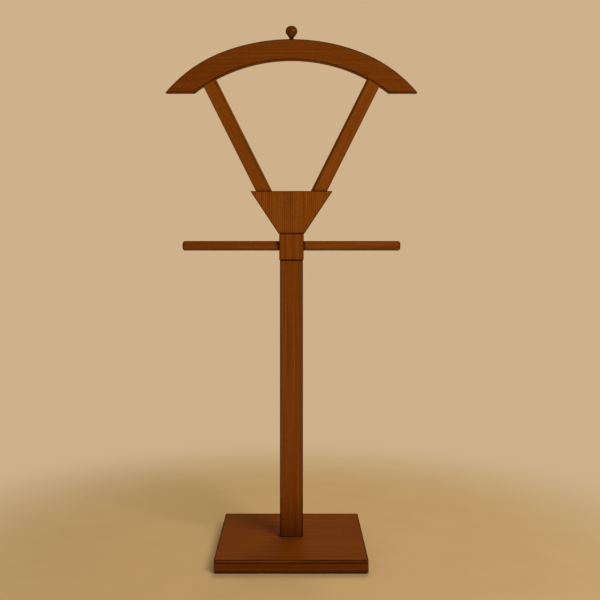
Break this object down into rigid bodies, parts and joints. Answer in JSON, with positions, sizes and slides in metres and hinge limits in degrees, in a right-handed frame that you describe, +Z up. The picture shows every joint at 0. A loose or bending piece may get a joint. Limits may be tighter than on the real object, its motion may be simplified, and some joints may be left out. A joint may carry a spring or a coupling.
{
  "type": "valet stand",
  "caption": "Wooden valet stand with a square base, slim post, round trouser bar through a collar, and leaning arms under a curved shoulder arch with a turned finial.",
  "frame": {"origin": "on the floor, under the centre of the square base", "axes": "+X to the right along the trouser bar, +Y to the back, +Z up the post"},
  "size_m": [0.5, 0.284, 1.0397],
  "materials": {
    "stained_wood": "satin",
    "raw_beech": "matte",
    "zinc_steel": "satin",
    "brass": "satin",
    "felt": "matte"
  },
  "bodies": {
    "root": {"base_board": "stained_wood", "base_top_panel": "stained_wood", "felt_pad_front_left": "felt", "felt_pad_front_right": "felt", "felt_pad_back_left": "felt", "felt_pad_back_right": "felt", "foot_bolt": "zinc_steel", "foot_washer": "zinc_steel", "insert_nut": "brass", "foot_dowels": "raw_beech", "post": "stained_wood", "neck_dowels": "raw_beech", "collar_block": "stained_wood", "trouser_bar": "stained_wood", "bar_lock_screw": "zinc_steel", "yoke_dowels": "raw_beech", "yoke": "stained_wood", "left_arm": "stained_wood", "right_arm": "stained_wood", "left_arm_foot_dowels": "raw_beech", "right_arm_foot_dowels": "raw_beech", "left_arm_top_dowels": "raw_beech", "right_arm_top_dowels": "raw_beech", "shoulder_arch": "stained_wood", "finial": "stained_wood", "finial_stud": "zinc_steel"}
  },
  "joints": []
}
